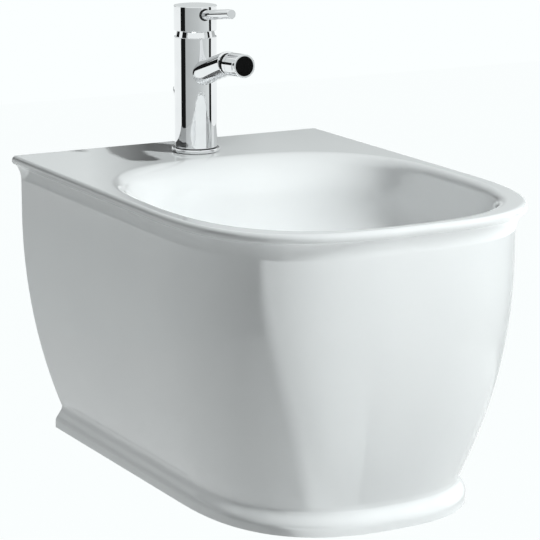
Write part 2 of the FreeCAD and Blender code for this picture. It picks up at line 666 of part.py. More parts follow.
def make_lever():
    pin_hole = Part.makeCylinder(PIVOT_PIN_RADIUS + PIVOT_PIN_PLAY, 2 * STEM_SIDE,
                                 TAP + V(-STEM_SIDE, 0, STEM_PIVOT), X_AXIS)
    save("cartridge_stem", tap_box(STEM_SIDE, STEM_SIDE, STEM_BOTTOM, STEM_TOP).cut(pin_hole))
    root = (CAP_RADIUS - LEVER_ROOT) / math.cos(math.radians(LEVER_RISE))
    cap = tap_cyl(CAP_RADIUS, CAP_BOTTOM, CAP_TOP)
    cap = soften(cap, SMALL_EDGE, on_tap(CAP_TOP), CAP_RADIUS)
    cap = soften(cap, SMALL_EDGE, on_tap(CAP_BOTTOM), CAP_RADIUS)
    socket = STEM_SIDE + 2 * THREAD_PLAY
    grub_start = STEM_SIDE / 2 + THREAD_PLAY
    grub_end = CAP_RADIUS - GRUB_INSET
    grub_level = (CAP_CEILING + STEM_TOP) / 2
    grub_base = TAP + V(0, grub_start, grub_level)
    tools = [tap_cyl(CAP_RADIUS - CAP_SKIRT_WALL, CAP_BOTTOM, CAP_CEILING),
             tap_box(socket, socket, CAP_BOTTOM, STEM_TOP + THREAD_PLAY),
             on_lever(cyl(LEVER_RADIUS, -root, LEVER_REACH)),
             on_lever(cyl(LEVER_RADIUS + LEVER_RECESS, -LEVER_RECESS_DEPTH, LEVER_REACH)),
             Part.makeCylinder(GRUB_RADIUS, 2 * CAP_RADIUS, grub_base, Y_AXIS)]
    save("lever_cap", cut(cap, tools))
    pin = cyl(LEVER_RADIUS, -root, LEVER_REACH)
    save("lever_pin", on_lever(soften(pin, SMALL_EDGE, LEVER_REACH, LEVER_RADIUS)))
    save("lever_grub_screw", Part.makeCylinder(GRUB_RADIUS, grub_end - grub_start, grub_base, Y_AXIS))


def make_spout():
    tail = cyl(SPOUT_RADIUS, SPOUT_ROOT, SPOUT_END)
    tail = soften(tail, SMALL_EDGE, SPOUT_END, SPOUT_RADIUS)
    socket_floor = BALL_ALONG - SOCKET_DEPTH
    tools = [cyl(SPOUT_BORE, SPOUT_ROOT, SPOUT_END), cyl(SOCKET_BORE, socket_floor, SPOUT_END)]
    save("spout", on_spout(cut(tail, tools)))
    hollow = Part.makeSphere(BALL_RADIUS + BALL_PLAY, V(0, 0, BALL_ALONG))
    ring = cyl(SOCKET_BORE, BALL_ALONG + SOCKET_RING_GAP, SPOUT_END)
    save("socket_ring", on_spout(ring.cut(hollow)))
    race_start = socket_floor + RACE_PLAY
    race = tube(SOCKET_BORE - RACE_PLAY, SPOUT_BORE, race_start, BALL_ALONG - SOCKET_RING_GAP)
    save("ball_race", on_spout(race.cut(hollow)))


def make_nozzle():
    ball = union([Part.makeSphere(BALL_RADIUS), cyl(BALL_NECK, 0, COLLAR_END)])
    save("nozzle_ball", on_nozzle(ball.cut(cyl(BALL_BORE, -BALL_RADIUS, COLLAR_END))))
    spigot_end = COLLAR_END + COLLAR_SPIGOT
    collar = cyl(NOZZLE_RADIUS, COLLAR_START, COLLAR_END)
    collar = soften(collar, SMALL_EDGE, COLLAR_START, NOZZLE_RADIUS)
    collar = union([collar, cyl(SLEEVE_BORE - SPIGOT_PLAY, COLLAR_END, spigot_end)])
    save("nozzle_collar", on_nozzle(collar.cut(cyl(BALL_NECK, COLLAR_START, spigot_end))))
    sleeve = cyl(NOZZLE_RADIUS, COLLAR_END + COLLAR_SEAM, NOZZLE_REACH)
    sleeve = soften(sleeve, SMALL_EDGE, NOZZLE_REACH, NOZZLE_RADIUS)
    notch_end = NOZZLE_REACH - NOTCH_BEHIND_FACE
    notch = box(2 * NOTCH_DEPTH, NOTCH_HEIGHT, notch_end - NOTCH_WIDTH, notch_end, -NOZZLE_RADIUS)
    save("nozzle_sleeve", on_nozzle(cut(sleeve, [cyl(SLEEVE_BORE, 0, NOZZLE_REACH), notch])))
    face = NOZZLE_REACH - AERATOR_RECESS
    insert = cyl(SLEEVE_BORE - AERATOR_PLAY, face - AERATOR_LENGTH, face)
    holes = [(0.0, 0.0)]
    for k in range(AERATOR_HOLES):
        turn = 2 * math.pi * k / AERATOR_HOLES
        holes.append((AERATOR_HOLE_RING * math.cos(turn), AERATOR_HOLE_RING * math.sin(turn)))
    tools = [cyl(AERATOR_HOLE, face - AERATOR_HOLE_DEPTH, face, x, y) for x, y in holes]
    save("aerator_insert", on_nozzle(cut(insert, tools)))


STRAP_NEAR = ROD_RADIUS + STRAP_SEAT
STRAP_MIDDLE = STRAP_NEAR + STRAP_THICKNESS / 2
STRAP_Y = LEG_Y + STRAP_MIDDLE


def rod_path():
    """The pull rod's axis: a leaning run, a bend and an upright leg."""
    lean = math.radians(ROD_LEAN)
    up = V(0, math.sin(lean), math.cos(lean))
    corner = V(0, LEG_Y, DECK + ROD_BEND_HEIGHT)
    trim = ROD_BEND_RADIUS * math.tan(lean / 2)
    start = ROD_TOP - up * KNOB_CONE
    bend_start = corner + up * trim
    bend_end = corner - Z_AXIS * trim
    inside = (up - Z_AXIS).normalize()
    middle = corner + inside * (ROD_BEND_RADIUS / math.cos(lean / 2) - ROD_BEND_RADIUS)
    end = V(0, LEG_Y, level(ROD_DROP))
    edges = [Part.LineSegment(start, bend_start), Part.Arc(bend_start, middle, bend_end),
             Part.LineSegment(bend_end, end)]
    return Part.Wire([edge.toShape() for edge in edges])


def make_pull_rod():
    knob = Part.makeCone(KNOB_RADIUS, KNOB_TIP_RADIUS, KNOB_CONE, V(0, 0, -KNOB_CONE))
    knob = union([cyl(KNOB_RADIUS, -KNOB_LENGTH, -KNOB_CONE), knob])
    save("lift_knob", on_rod(knob.cut(cyl(ROD_RADIUS, -KNOB_LENGTH, -KNOB_CONE))))
    path = rod_path()
    start = path.Edges[0].Vertexes[0].Point
    heading = path.Edges[0].tangentAt(path.Edges[0].FirstParameter)
    section = Part.Wire(Part.makeCircle(ROD_RADIUS, start, heading))
    save("lift_rod", path.makePipeShell([section], True, False))
    clamp_top = ROD_DROP - CLAMP_LENGTH
    clamp_front = -ROD_RADIUS - CLAMP_WALL
    clamp_depth = STRAP_NEAR - clamp_front
    clamp = box(CLAMP_WIDTH, clamp_depth, level(ROD_DROP), level(clamp_top),
                0, LEG_Y + clamp_front + clamp_depth / 2)
    screw_level = level((clamp_top + ROD_DROP) / 2)
    screw_base = V(0, LEG_Y + clamp_front - CLAMP_SCREW_HEAD_HEIGHT, screw_level)
    screw_length = CLAMP_SCREW_HEAD_HEIGHT + CLAMP_WALL
    shank = Part.makeCylinder(CLAMP_SCREW_RADIUS, screw_length, screw_base, Y_AXIS)
    head = Part.makeCylinder(CLAMP_SCREW_HEAD, CLAMP_SCREW_HEAD_HEIGHT, screw_base, Y_AXIS)
    rod_hole = cyl(ROD_RADIUS, level(ROD_DROP), level(clamp_top), 0, LEG_Y)
    save("strap_clamp", cut(clamp, [rod_hole, shank]))
    save("clamp_screw", union([shank, head]).cut(rod_hole))
    strap_bottom = ROCKER_DROP + SLOT_HALF_LENGTH + STRAP_END
    strap = box(STRAP_WIDTH, STRAP_THICKNESS, level(strap_bottom), level(clamp_top), 0, STRAP_Y)
    slot = box(2 * SLOT_HALF_WIDTH, 2 * STRAP_THICKNESS, level(ROCKER_DROP + SLOT_HALF_LENGTH),
               level(ROCKER_DROP - SLOT_HALF_LENGTH), 0, STRAP_Y)
    save("link_strap", strap.cut(slot))


def waste_cyl(radius, drop0, drop1, x=0.0, y=0.0):
    return cyl(radius, level(drop1), level(drop0), WASTE.x + x, WASTE.y + y)


def waste_tube(outer, inner, drop0, drop1):
    return waste_cyl(outer, drop0, drop1).cut(waste_cyl(inner, drop0, drop1))


def port_cyl(radius, start, end):
    """A cylinder along the rocking rod's axis, from the waste's axis towards the wall."""
    base = WASTE + V(0, start, -ROCKER_DROP)
    return Part.makeCylinder(radius, end - start, base, Y_AXIS)


WASTE_BODY_END = ROCKER_DROP + PORT_TO_SOCKET
SOCKET_END = WASTE_BODY_END + TAIL_SOCKET
SEAL_TOP = BOWL_DEPTH - TOP_SEAL
FLANGE_TOP = SEAL_TOP - FLANGE_THICKNESS
ROCKER_BALL_CENTRE = WASTE + V(0, ROCKER_OFFSET, -ROCKER_DROP)


def make_waste():
    save("waste_top_seal", waste_tube(FLANGE_RADIUS - SMALL_EDGE, WASTE_HOLE_RADIUS, SEAL_TOP, BOWL_DEPTH))
    flange = waste_cyl(FLANGE_RADIUS, FLANGE_TOP, SEAL_TOP)
    flange = soften(flange, 2 * SMALL_EDGE, level(FLANGE_TOP), FLANGE_RADIUS)
    tail_end = SEAL_TOP + FLANGE_TAIL_LENGTH
    flange = union([flange, waste_cyl(FLANGE_TAIL_RADIUS, SEAL_TOP, tail_end)])
    save("waste_flange", flange.cut(waste_cyl(FLANGE_BORE, FLANGE_TOP, tail_end)))
    save("waste_under_gasket", waste_tube(FLANGE_RADIUS, WASTE_HOLE_RADIUS, CERAMIC_UNDER, BODY_FLANGE_TOP))
    bore = FLANGE_TAIL_RADIUS + THREAD_PLAY
    inserted = TAILPIECE_RADIUS - TAILPIECE_STEP
    socket_bore = inserted + TAILPIECE_PLAY
    socket_outer = socket_bore + TAIL_SOCKET_WALL
    body = union([waste_cyl(FLANGE_RADIUS, BODY_FLANGE_TOP, WASTE_BODY_TOP),
                  waste_cyl(WASTE_BODY_RADIUS, WASTE_BODY_TOP, WASTE_BODY_END),
                  waste_cyl(socket_outer, WASTE_BODY_END, SOCKET_END),
                  port_cyl(PORT_BOSS_RADIUS, 0, PORT_BOSS_END)])
    floor_top = WASTE_BODY_END - TAIL_STOP
    tools = [waste_cyl(bore, BODY_FLANGE_TOP, floor_top),
             waste_cyl(TAILPIECE_RADIUS - TAILPIECE_WALL, floor_top, WASTE_BODY_END),
             waste_cyl(socket_bore, WASTE_BODY_END, SOCKET_END),
             port_cyl(ROCKER_SLOT, 0, PORT_BOSS_END),
             port_cyl(PORT_BOSS_BORE, WASTE_BODY_RADIUS, PORT_BOSS_END)]
    save("waste_body", cut(body, tools))
    nut_end = SOCKET_END + TAIL_NUT_LIP
    free_start = nut_end + TAIL_FREE_GAP
    tail_end = WASTE_BODY_END + TAILPIECE_LENGTH
    tailpiece = union([waste_cyl(inserted, WASTE_BODY_END, free_start),
                       waste_cyl(TAILPIECE_RADIUS, free_start, tail_end)])
    tail_bore = waste_cyl(TAILPIECE_RADIUS - TAILPIECE_WALL, WASTE_BODY_END, tail_end)
    save("waste_tailpiece", tailpiece.cut(tail_bore))
    nut_start = nut_end - TAIL_NUT_HEIGHT
    nut = waste_cyl(socket_outer + TAIL_NUT_WALL, nut_start, nut_end)
    save("tail_nut", cut(nut, [waste_cyl(socket_outer + THREAD_PLAY, nut_start, SOCKET_END),
                               waste_cyl(socket_bore, nut_start, nut_end)]))


def make_rocker():
    hollow = Part.makeSphere(ROCKER_BALL + ROCKER_PLAY, ROCKER_BALL_CENTRE)
    seat_start = WASTE_BODY_RADIUS
    seat = port_cyl(PORT_BOSS_BORE - THREAD_PLAY, seat_start, seat_start + BALL_SEAT_LENGTH)
    rod_way = port_cyl(ROCKER_SLOT, 0, PORT_BOSS_END)
    save("ball_seat", cut(seat, [hollow, rod_way]))
    plug_start = seat_start + BALL_SEAT_LENGTH
    nut_end = PORT_BOSS_END + BALL_NUT_END
    outer = port_cyl(PORT_BOSS_RADIUS + BALL_NUT_WALL, plug_start, nut_end)
    groove = port_cyl(PORT_BOSS_RADIUS + THREAD_PLAY, plug_start, PORT_BOSS_END)
    groove = groove.cut(port_cyl(PORT_BOSS_BORE - THREAD_PLAY, plug_start, PORT_BOSS_END))
    save("ball_nut", cut(outer, [groove, hollow, port_cyl(BALL_NUT_OPENING, plug_start, nut_end)]))
    rod_end = WASTE_FROM_WALL + STRAP_Y + ROCKER_TAIL
    rod = port_cyl(ROCKER_RADIUS, -ROCKER_TIP, rod_end)
    save("ball_rod", union([rod, Part.makeSphere(ROCKER_BALL, ROCKER_BALL_CENTRE)]))


def make_plug():
    seal_bottom = FLANGE_TOP - PLUG_LIFT_GAP
    seal_top = seal_bottom - PLUG_SEAL
    cap_top = seal_top - PLUG_THICKNESS
    cap = waste_cyl(PLUG_RADIUS, cap_top, seal_top)
    save("plug_cap", soften(cap, PLUG_THICKNESS / 2, level(cap_top), PLUG_RADIUS))
    save("plug_seal", waste_tube(PLUG_SEAL_RADIUS, PLUG_STEM_RADIUS, seal_top, seal_bottom))
    eye_top = ROCKER_DROP - EYE_RADIUS - EYE_WALL
    eye_bottom = ROCKER_DROP + EYE_RADIUS + EYE_WALL
    eye = box(EYE_WIDTH, EYE_LENGTH, level(eye_bottom), level(eye_top), WASTE.x, WASTE.y)
    fin_radius = FLANGE_BORE - PLUG_FIN_PLAY
    fin_top = SEAL_TOP
    fin_disc = waste_cyl(fin_radius, fin_top, fin_top + PLUG_FIN_LENGTH)
    fin_z0 = level(fin_top + PLUG_FIN_LENGTH)
    fin_x = box(2 * FLANGE_BORE, PLUG_FIN, fin_z0, level(fin_top), WASTE.x, WASTE.y)
    fin_y = box(PLUG_FIN, 2 * FLANGE_BORE, fin_z0, level(fin_top), WASTE.x, WASTE.y)
    stem = union([waste_cyl(PLUG_STEM_RADIUS, seal_top, eye_top), eye,
                  fin_x.common(fin_disc), fin_y.common(fin_disc)])
    save("plug_stem", stem.cut(port_cyl(EYE_RADIUS, -EYE_LENGTH, EYE_LENGTH)))


os.makedirs("parts", exist_ok=True)
make_pan()
make_wall_fixing()
make_base()
make_mixer_body()
make_shank_fixing()
make_cartridge()
make_turret()
make_lever()
make_spout()
make_nozzle()
make_pull_rod()
make_waste()
make_rocker()
make_plug()
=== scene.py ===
import json
import math

import bmesh
import bpy
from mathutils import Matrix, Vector


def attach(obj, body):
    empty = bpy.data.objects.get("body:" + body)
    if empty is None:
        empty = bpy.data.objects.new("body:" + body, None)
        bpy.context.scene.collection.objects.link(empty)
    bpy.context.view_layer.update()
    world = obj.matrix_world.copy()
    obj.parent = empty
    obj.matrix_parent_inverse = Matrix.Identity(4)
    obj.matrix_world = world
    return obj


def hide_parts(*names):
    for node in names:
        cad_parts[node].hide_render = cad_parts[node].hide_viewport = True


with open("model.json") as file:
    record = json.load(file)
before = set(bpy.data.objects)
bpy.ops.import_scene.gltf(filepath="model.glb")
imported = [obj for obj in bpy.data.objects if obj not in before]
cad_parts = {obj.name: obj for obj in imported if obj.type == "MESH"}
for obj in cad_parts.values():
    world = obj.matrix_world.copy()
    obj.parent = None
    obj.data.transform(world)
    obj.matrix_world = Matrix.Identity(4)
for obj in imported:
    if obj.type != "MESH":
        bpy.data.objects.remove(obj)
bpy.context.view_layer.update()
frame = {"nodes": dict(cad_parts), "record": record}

MM = 0.001

# Sizes of the pan, in millimetres, from the solid model. Two differ a little from it: there the
# sleeve holes have a radius of 9.0 and the service opening has corners of 18.0.
DECK = 80.0
RIM_WIDTH = 370.0
RIM_DEPTH = 514.5
SIDE_STRAIGHT = 300.0
RIM_SQUARENESS = 3.1
FOOT_SQUARENESS = 2.6
FRONT_TAPER = 0.895
PAN_HEIGHT = 303.0
ROLL_RADIUS = 5.0
COVE_RADIUS = 29.0
COVE_DROP = 27.0
WALL_INSET = 10.2
BELLY_DROP = 62.0
BELLY_RADIUS = 585.0
PLINTH_HEIGHT = 23.0
PLINTH_CURVE = 16.0
PLINTH_STEP = 8.0
CERAMIC_WALL = 11.0
BACK_WALL = 14.0
DECK_THICKNESS = 14.0
BOWL_SIDE_MARGIN = 12.0
BOWL_FRONT_MARGIN = 10.0
BOWL_FROM_WALL = 106.0
BOWL_DEPTH = 140.0
BOWL_SQUARENESS = 2.7
EDGE_RADIUS = 9.0
REAR_EDGE_RUN = 44.0
REAR_EDGE_DROP = 40.0
BOWL_LEAN = 0.10
BEND_DROP = 45.0
WASTE_FROM_WALL = 235.0
LEDGE_RADIUS = 35.0
WASTE_HOLE_RADIUS = 21.5
TAP_FROM_WALL = 64.0
TAP_HOLE_RADIUS = 17.5
SLEEVE_HOLE_RADIUS = 9.8
BOLT_SPACING = 180.0
SERVICE_WIDTH = 130.0
SERVICE_HEIGHT = 110.0
SERVICE_SILL = 40.0
SERVICE_CORNER = 15.0

HALF = RIM_WIDTH / 2
NECK = PAN_HEIGHT - PLINTH_HEIGHT

# Reach of the cutting tools
TAP_CUT_LENGTH = 60.0
BACK_CUT_START = -30.0
BACK_CUT_END = 20.0

# Steps of the pan's mesh round the pan, down its outside, down the bowl and in the hollow
SIDE_STEPS = 26
FRONT_STEPS = 190
BACK_STEPS = 36
ANGLE_SAMPLES = 4000
ROLL_STEPS = 20
COVE_STEPS = 12
WALL_STEPS = 6
BELLY_STEPS = 36
PLINTH_STEPS = 14
FOOT_STEPS = 3
BOWL_EDGE_STEPS = 12
BOWL_WALL_STEPS = 16
BOWL_FLOOR_STEPS = 40
HOLLOW_STEPS = 40
INNER_WALL_STEPS = 22
ROOF_STEPS = 5
UNDER_STEPS = 28
MEET_STEP = 1.0
MEET_GAP = 0.01

# Extra rings across the rim, and close to an edge to keep it crisp
RIM_SHARES = (0.2, 0.4, 0.6, 0.8)
EDGE_HOLD = 0.8
LEDGE_HOLD = 1.0
HOLD_LIMIT = 0.45
SHORTEST = 1e-6

# Mesh clean-up, in metres, and the bend that makes an edge sharp
MERGE_DISTANCE = 2e-6
DEGENERATE_LENGTH = 1e-6
SHARP_BEND = math.radians(32.0)


def spread(start, end, count):
    return [start + (end - start) * k / count for k in range(count + 1)]


def squareness(drop):
    share = min(drop / NECK, 1.0) ** 2
    return RIM_SQUARENESS + (FOOT_SQUARENESS - RIM_SQUARENESS) * share


def belly_inset(drop):
    if drop <= BELLY_DROP:
        return WALL_INSET
    return WALL_INSET + BELLY_RADIUS - math.sqrt(BELLY_RADIUS ** 2 - (drop - BELLY_DROP) ** 2)


def cove_inset(drop):
    return WALL_INSET - COVE_RADIUS + math.sqrt(COVE_RADIUS ** 2 - (COVE_DROP - drop) ** 2)


def plinth_inset(drop):
    share = min((drop - NECK) / PLINTH_CURVE, 1.0)
    return belly_inset(NECK) - PLINTH_STEP * (1 - math.cos(math.pi * share)) / 2


def oval(theta, half, length, square):
    """Radius of a superellipse in one direction."""
    across = (abs(math.cos(theta)) / half) ** square
    along = (abs(math.sin(theta)) / length) ** square
    return (across + along) ** (-1 / square)


def front_angles():
    """Directions that space the rim's rounded front evenly."""
    nose = RIM_DEPTH - SIDE_STRAIGHT
    dense = spread(math.pi, 2 * math.pi, ANGLE_SAMPLES)
    run = [0.0]
    last = None
    for theta in dense:
        r = oval(theta, HALF, nose, RIM_SQUARENESS)
        point = Vector((r * math.cos(theta), r * math.sin(theta)))
        if last is not None:
            run.append(run[-1] + (point - last).length)
        last = point
    angles = []
    k = 0
    for step in range(FRONT_STEPS + 1):
        want = run[-1] * step / FRONT_STEPS
        while k < len(dense) - 2 and run[k + 1] < want:
            k += 1
        share = (want - run[k]) / (run[k + 1] - run[k])
        angles.append(dense[k] + (dense[k + 1] - dense[k]) * share)
    return angles


ANGLES = front_angles()


def pan_ring(inset, drop, back=0.0):
    """Stations round the pan: left side, front, right side, back."""
    half = HALF - inset
    nose = RIM_DEPTH - FRONT_TAPER * inset - SIDE_STRAIGHT
    z = DECK - drop
    square = squareness(drop)
    sides = [-back - (SIDE_STRAIGHT - back) * k / SIDE_STEPS for k in range(SIDE_STEPS)]
    ring = [Vector((-half, y, z)) for y in sides]
    for theta in ANGLES:
        r = oval(theta, half, nose, square)
        ring.append(Vector((r * math.cos(theta), -SIDE_STRAIGHT + r * math.sin(theta), z)))
    ring += [Vector((half, y, z)) for y in reversed(sides)]
    ring += [Vector((half - 2 * half * k / BACK_STEPS, -back, z)) for k in range(1, BACK_STEPS)]
    return ring


DIRECTIONS = [math.atan2(p.y + SIDE_STRAIGHT, p.x) for p in pan_ring(0.0, 0.0)]


def edge_run(run, depth, drop):
    """How far a rounded edge has run inwards at a depth."""
    left = max(depth - drop, 0.0) / depth
    return run * math.sqrt(1 - left ** 2)


def bowl_run(run, depth, reach, drop):
    """How far the bowl's wall has run inwards at a depth: rounded edge, lean and bend."""
    inward = edge_run(run, depth, drop) + BOWL_LEAN * drop
    if drop <= BEND_DROP:
        return inward
    share = (drop - BEND_DROP) / (BOWL_DEPTH - BEND_DROP)
    rest = reach - run - BOWL_LEAN * BOWL_DEPTH
    return inward + rest * (1 - math.sqrt(max(1 - share ** 2, 0.0)))


def bowl_ring(drop, grow=0.0, deeper=1.0):
    half = HALF - BOWL_SIDE_MARGIN
    front = RIM_DEPTH - BOWL_FRONT_MARGIN
    half_reach = half - LEDGE_RADIUS
    front_reach = front - WASTE_FROM_WALL - LEDGE_RADIUS
    rear_reach = WASTE_FROM_WALL - LEDGE_RADIUS - BOWL_FROM_WALL
    width = half - bowl_run(EDGE_RADIUS, EDGE_RADIUS, half_reach, drop) + grow
    y_front = -front + bowl_run(EDGE_RADIUS, EDGE_RADIUS, front_reach, drop) - grow
    y_rear = -BOWL_FROM_WALL - bowl_run(REAR_EDGE_RUN, REAR_EDGE_DROP, rear_reach, drop) + grow
    share = max(drop - BEND_DROP, 0.0) / (BOWL_DEPTH - BEND_DROP)
    bend = 1 - math.sqrt(max(1 - share ** 2, 0.0))
    middle = -SIDE_STRAIGHT + (SIDE_STRAIGHT - WASTE_FROM_WALL) * bend
    square = BOWL_SQUARENESS + (2 - BOWL_SQUARENESS) * bend
    z = DECK - drop * deeper
    ring = []
    for theta in DIRECTIONS:
        length = y_rear - middle if math.sin(theta) > 0 else middle - y_front
        r = oval(theta, width, length, square)
        ring.append(Vector((r * math.cos(theta), middle + r * math.sin(theta), z)))
    return ring


def hole_ring(radius, drop):
    z = DECK - drop
    return [Vector((radius * math.cos(theta), -WASTE_FROM_WALL + radius * math.sin(theta), z))
            for theta in DIRECTIONS]


def bowl_drops():
    quarter = math.pi / 2
    edge = [EDGE_RADIUS * (1 - math.cos(angle)) for angle in spread(0, quarter, BOWL_EDGE_STEPS)]
    ratio = BEND_DROP / EDGE_RADIUS
    wall = [EDGE_RADIUS * ratio ** share for share in spread(0, 1, BOWL_WALL_STEPS)][1:]
    depth = BOWL_DEPTH - BEND_DROP
    floor = [BEND_DROP + depth * math.sin(angle)
             for angle in spread(0, quarter, BOWL_FLOOR_STEPS)][1:]
    return edge + wall + floor


def outer_sections():
    """Insets and drops down the outside, from the rim's roll to the foot."""
    roll_end = 2 * ROLL_RADIUS
    plinth_end = NECK + PLINTH_CURVE
    foot = plinth_inset(PAN_HEIGHT)
    sections = [(ROLL_RADIUS * (1 - math.sin(angle)), ROLL_RADIUS * (1 - math.cos(angle)))
                for angle in spread(0, math.pi, ROLL_STEPS)]
    sections[-1] = (cove_inset(roll_end), roll_end)
    sections += [(cove_inset(drop), drop) for drop in spread(roll_end, COVE_DROP, COVE_STEPS)[1:]]
    sections += [(WALL_INSET, drop) for drop in spread(COVE_DROP, BELLY_DROP, WALL_STEPS)[1:]]
    sections += [(belly_inset(drop), drop) for drop in spread(BELLY_DROP, NECK, BELLY_STEPS)[1:]]
    sections += [(plinth_inset(drop), drop) for drop in spread(NECK, plinth_end, PLINTH_STEPS)[1:]]
    sections += [(foot, drop) for drop in spread(plinth_end, PAN_HEIGHT, FOOT_STEPS)[1:]]
    return sections


def lerp_ring(a, b, share):
    return [p.lerp(q, share) for p, q in zip(a, b)]


def hold(a, b, reach):
    """A ring a short way from ring a towards ring b."""
    return [p.lerp(q, min(reach / max((q - p).length, SHORTEST), HOLD_LIMIT))
            for p, q in zip(a, b)]


def at_drop(stack, station, drop):
    """Point of a stack of rings at one station and depth; the stack runs downwards."""
    z = DECK - drop
    for upper, lower in zip(stack, stack[1:]):
        p, q = upper[station], lower[station]
        if p.z >= z >= q.z:
            return p.lerp(q, 0 if p.z == q.z else (p.z - z) / (p.z - q.z))
    end = stack[-1] if z < stack[-1][station].z else stack[0]
    return end[station].copy()


def off_middle(point):
    return math.hypot(point.x, point.y + SIDE_STRAIGHT)


def inner_rings():
    """The hollow under the bowl: up the outer wall, across and down the bowl's underside."""
    wall_drops = spread(DECK_THICKNESS, NECK, HOLLOW_STEPS) + [PAN_HEIGHT]
    wall = [pan_ring(belly_inset(min(drop, NECK)) + CERAMIC_WALL, drop, BACK_WALL)
            for drop in wall_drops]
    floor = BOWL_DEPTH + CERAMIC_WALL
    deeper = floor / BOWL_DEPTH
    under = [bowl_ring(drop, CERAMIC_WALL, deeper) for drop in bowl_drops() if drop >= EDGE_RADIUS]
    lines = []
    for station in range(len(DIRECTIONS)):
        meet = DECK_THICKNESS
        while meet < BOWL_DEPTH:
            bowl_side = off_middle(at_drop(under, station, meet))
            if bowl_side < off_middle(at_drop(wall, station, meet)) - MEET_GAP:
                break
            meet += MEET_STEP
        line = [at_drop(wall, station, drop)
                for drop in spread(PAN_HEIGHT, meet, INNER_WALL_STEPS)]
        roof_end = at_drop(under, station, meet)
        line += [line[-1].lerp(roof_end, k / ROOF_STEPS) for k in range(1, ROOF_STEPS + 1)]
        for k in range(1, UNDER_STEPS + 1):
            share = math.sin(math.pi / 2 * k / UNDER_STEPS)
            line.append(at_drop(under, station, meet + (floor - meet) * share))
        lines.append(line)
    return [list(ring) for ring in zip(*lines)]


def pan_rings():
    """The pan's whole skin: up the bowl, over the rim, down the outside, up through the hollow."""
    rings = [hole_ring(WASTE_HOLE_RADIUS, BOWL_DEPTH)]
    bowl = [bowl_ring(drop) for drop in reversed(bowl_drops())]
    rings += [hold(bowl[0], rings[0], LEDGE_HOLD)] + bowl
    outer = [pan_ring(inset, drop) for inset, drop in outer_sections()]
    near, far = bowl[-1], outer[0]
    rings.append(hold(near, far, EDGE_HOLD))
    rings += [lerp_ring(near, far, share) for share in RIM_SHARES]
    rings.append(hold(far, near, EDGE_HOLD))
    rings += outer
    inner = inner_rings()
    rings.append(hold(outer[-1], inner[0], EDGE_HOLD))
    rings += inner
    rings.append(hole_ring(WASTE_HOLE_RADIUS, BOWL_DEPTH + CERAMIC_WALL))
    return rings


def skin(bm, rows, closed=False):
    """Faces between rows of vertices; a closed skin also joins the ends, both ways."""
    count = len(rows[0])
    followers = rows[1:] + rows[:1] if closed else rows[1:]
    for low, high in zip(rows, followers):
        for k in range(count if closed else count - 1):
            n = (k + 1) % count
            bm.faces.new((low[k], low[n], high[n], high[k]))


def add_object(name, bm):
    mesh = bpy.data.meshes.new(name)
    bm.to_mesh(mesh)
    bm.free()
    obj = bpy.data.objects.new(name, mesh)
    bpy.context.scene.collection.objects.link(obj)
    return obj


def smooth(mesh):
    mesh.shade_smooth()
    mesh.set_sharp_from_angle(angle=SHARP_BEND)


def prism(name, low, high):
    """A closed prism between two outlines in millimetres, used as a cutting tool."""
    count = len(low)
    bm = bmesh.new()
    made = [bm.verts.new(point * MM) for point in low + high]
    bm.faces.new(made[:count])
    bm.faces.new(made[:count - 1:-1])
    for k in range(count):
        n = (k + 1) % count
        bm.faces.new((made[k], made[n], made[count + n], made[count + k]))
    bmesh.ops.recalc_face_normals(bm, faces=bm.faces)
    return add_object(name, bm)


def rod_cutter(name, radius, base, axis, length, sides=64):
    axis = Vector(axis)
    across = axis.orthogonal().normalized()
    other = axis.cross(across)
    spokes = []
    for k in range(sides):
        turn = 2 * math.pi * k / sides
        spokes.append((across * math.cos(turn) + other * math.sin(turn)) * radius)
    start = Vector(base)
    end = start + axis * length
    return prism(name, [start + spoke for spoke in spokes], [end + spoke for spoke in spokes])


def window_cutter(name, low, high, corner, steps=8):
    """A block along Y with rounded corners."""
    left, right = low[0] + corner, high[0] - corner
    bottom, top = low[2] + corner, high[2] - corner
    corners = ((right, top, 0), (left, top, 90), (left, bottom, 180), (right, bottom, 270))
    outline = []
    for x, z, start in corners:
        for k in range(steps + 1):
            turn = math.radians(start + 90 * k / steps)
            outline.append((x + corner * math.cos(turn), z + corner * math.sin(turn)))
    near = [Vector((x, low[1], z)) for x, z in outline]
    far = [Vector((x, high[1], z)) for x, z in outline]
    return prism(name, near, far)


def pan_cutters():
    """Tools for the tap hole, the two wall-bolt holes and the service opening."""
    tap = (0, -TAP_FROM_WALL, DECK - 3 * DECK_THICKNESS)
    cutters = [rod_cutter("cut_tap", TAP_HOLE_RADIUS, tap, (0, 0, 1), TAP_CUT_LENGTH)]
    length = BACK_CUT_END - BACK_CUT_START
    for side in (-1, 1):
        bolt = (side * BOLT_SPACING / 2, BACK_CUT_START, 0)
        cutters.append(rod_cutter("cut_bolt", SLEEVE_HOLE_RADIUS, bolt, (0, 1, 0), length))
    sill = DECK - PAN_HEIGHT + SERVICE_SILL
    low = (-SERVICE_WIDTH / 2, BACK_CUT_START, sill)
    high = (SERVICE_WIDTH / 2, BACK_CUT_END, sill + SERVICE_HEIGHT)
    cutters.append(window_cutter("cut_service", low, high, SERVICE_CORNER))
    return cutters


